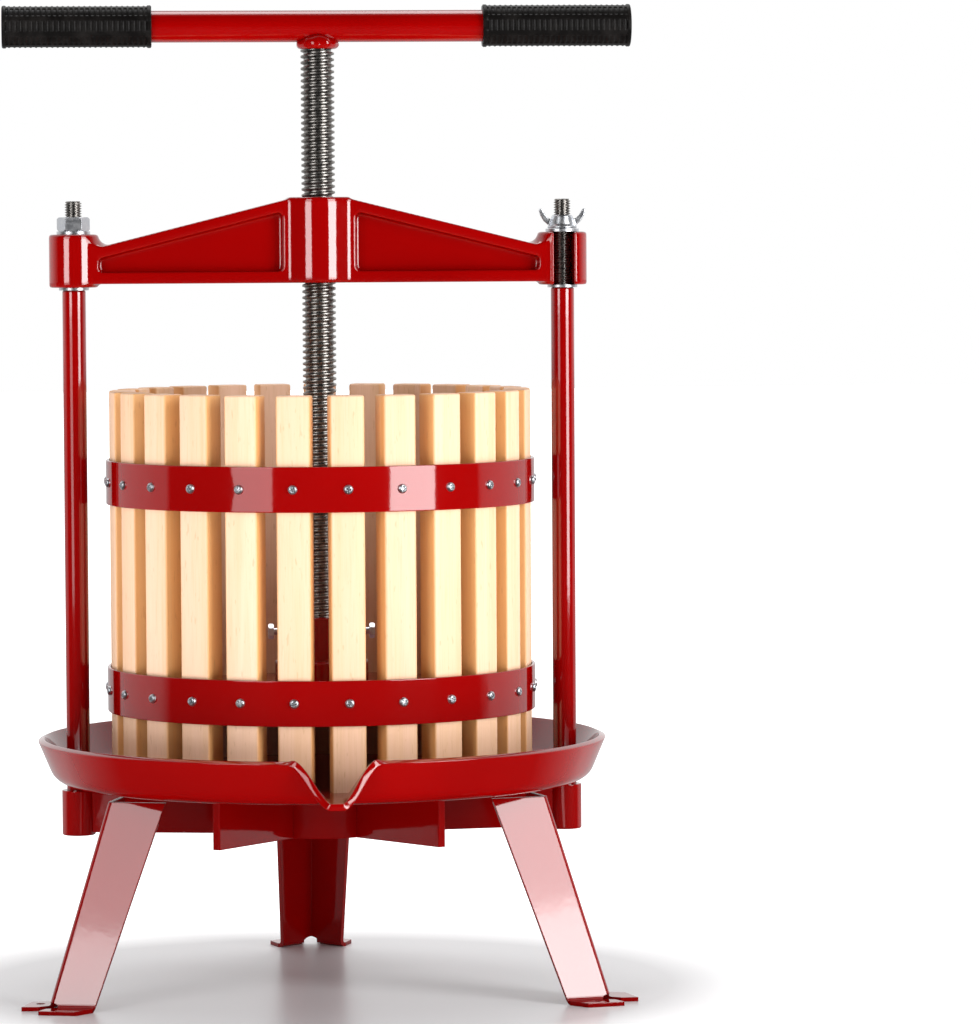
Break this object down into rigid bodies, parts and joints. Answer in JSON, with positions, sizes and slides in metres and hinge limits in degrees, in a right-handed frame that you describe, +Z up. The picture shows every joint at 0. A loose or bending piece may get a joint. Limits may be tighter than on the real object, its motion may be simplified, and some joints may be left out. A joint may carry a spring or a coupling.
{
  "type": "basket wine press",
  "caption": "Screw-driven basket press for fruit: slatted wooden basket on a spouted juice tray and tripod, crossbeam on two uprights, cross handle and press plate.",
  "frame": {"origin": "on the floor, on the axis of the screw, which is the centre of the foot screw holes", "axes": "+Z up along the screw; the pouring spout points to -Y; the uprights stand along X"},
  "size_m": [0.376, 0.3903, 0.5893],
  "materials": {
    "red_enamel": "deep red glossy enamel over cast iron and steel",
    "beech": "fine sanded pale beech, unvarnished",
    "screw_steel": "oiled dark steel thread",
    "zinc": "bright zinc plating",
    "grip_rubber": "black ribbed rubber"
  },
  "bodies": {
    "stand": {"tray": "red_enamel", "base_ring": "red_enamel", "base_bar_left": "red_enamel", "base_bar_right": "red_enamel", "base_rib_left": "red_enamel", "base_rib_right": "red_enamel", "rod_socket_left": "red_enamel", "rod_socket_right": "red_enamel", "leg_front_left": "red_enamel", "leg_front_right": "red_enamel", "leg_rear": "red_enamel", "upright_left": "red_enamel", "upright_right": "red_enamel", "shoulder_washers": "zinc", "crossbeam": "red_enamel", "nut_washer": "zinc", "hex_nut": "zinc"},
    "press_head": {"press_plate": "red_enamel", "plate_bolts": "zinc"},
    "screw": {"main_screw": "screw_steel", "handle_tube": "red_enamel", "handle_collar": "red_enamel", "grip_left": "grip_rubber", "grip_right": "grip_rubber"},
    "basket": {"slat_01": "beech", "slat_02": "beech", "slat_03": "beech", "slat_04": "beech", "slat_05": "beech", "slat_06": "beech", "slat_07": "beech", "slat_08": "beech", "slat_09": "beech", "slat_10": "beech", "slat_11": "beech", "slat_12": "beech", "slat_13": "beech", "slat_14": "beech", "slat_15": "beech", "slat_16": "beech", "slat_17": "beech", "slat_18": "beech", "slat_19": "beech", "slat_20": "beech", "slat_21": "beech", "slat_22": "beech", "slat_23": "beech", "slat_24": "beech", "slat_25": "beech", "hoop_upper": "red_enamel", "hoop_lower": "red_enamel", "hoop_screws_upper": "zinc", "hoop_screws_lower": "zinc"},
    "wing_washer_body": {"wing_washer": "zinc"},
    "wing_nut_body": {"wing_nut": "zinc"}
  },
  "joints": [
    {"name": "press_travel", "type": "slide", "parent": "stand", "child": "press_head", "axis": [0, 0, 1], "range_m": [-0.0451, 0.1951]},
    {"name": "screw_spin", "type": "hinge", "parent": "press_head", "child": "screw", "pos_m": [0, 0, 0.3], "axis": [0, 0, 1], "range_deg": [-4500, 19500]},
    {"name": "basket_lift", "type": "slide", "parent": "stand", "child": "basket", "axis": [0, 0, 1], "range_m": [0, 0.06]},
    {"name": "wing_nut_travel", "type": "slide", "parent": "stand", "child": "wing_washer_body", "axis": [0, 0, 1], "range_m": [0, 0.00905]},
    {"name": "wing_nut_spin", "type": "hinge", "parent": "wing_washer_body", "child": "wing_nut_body", "pos_m": [0.1465, 0, 0.46], "axis": [0, 0, 1], "range_deg": [0, 2160]}
  ],
  "couplings": [
    {"joint": "press_travel", "follows": "screw_spin", "m_per_rad": 0.00057296},
    {"joint": "wing_nut_travel", "follows": "wing_nut_spin", "m_per_rad": 0.00023873}
  ]
}
